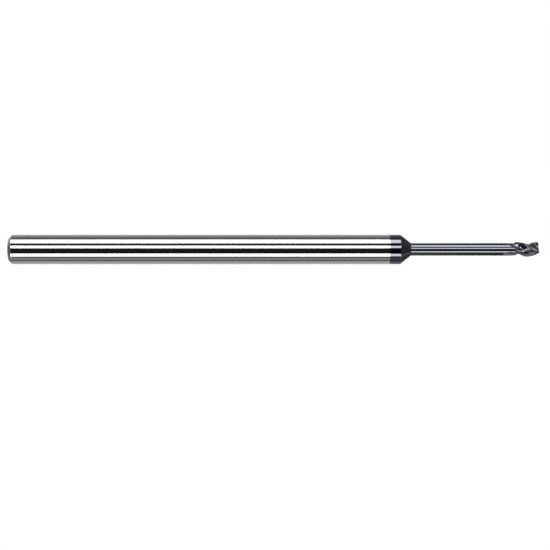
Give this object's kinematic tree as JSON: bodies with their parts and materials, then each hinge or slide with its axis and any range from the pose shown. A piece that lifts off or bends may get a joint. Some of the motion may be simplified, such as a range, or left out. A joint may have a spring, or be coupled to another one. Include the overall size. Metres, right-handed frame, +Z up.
{
  "type": "end mill",
  "caption": "Miniature solid-carbide end mill with a bright round shank, a dark coated front, a long slim relieved neck and a short helical fluted cutting head.",
  "frame": {"origin": "centre of the shank's flat back face", "axes": "+X along the tool axis towards the cutting end, +Z up with the tool lying on its side"},
  "size_m": [0.0571, 0.0032, 0.0032],
  "materials": {
    "ground_carbide": "finely ground and polished sintered carbide, bright",
    "nitride_coating": "dark blue-grey glossy vapour-deposited nitride film"
  },
  "bodies": {
    "root": {"carbide_blank": "ground_carbide", "front_coating": "nitride_coating"}
  },
  "joints": []
}
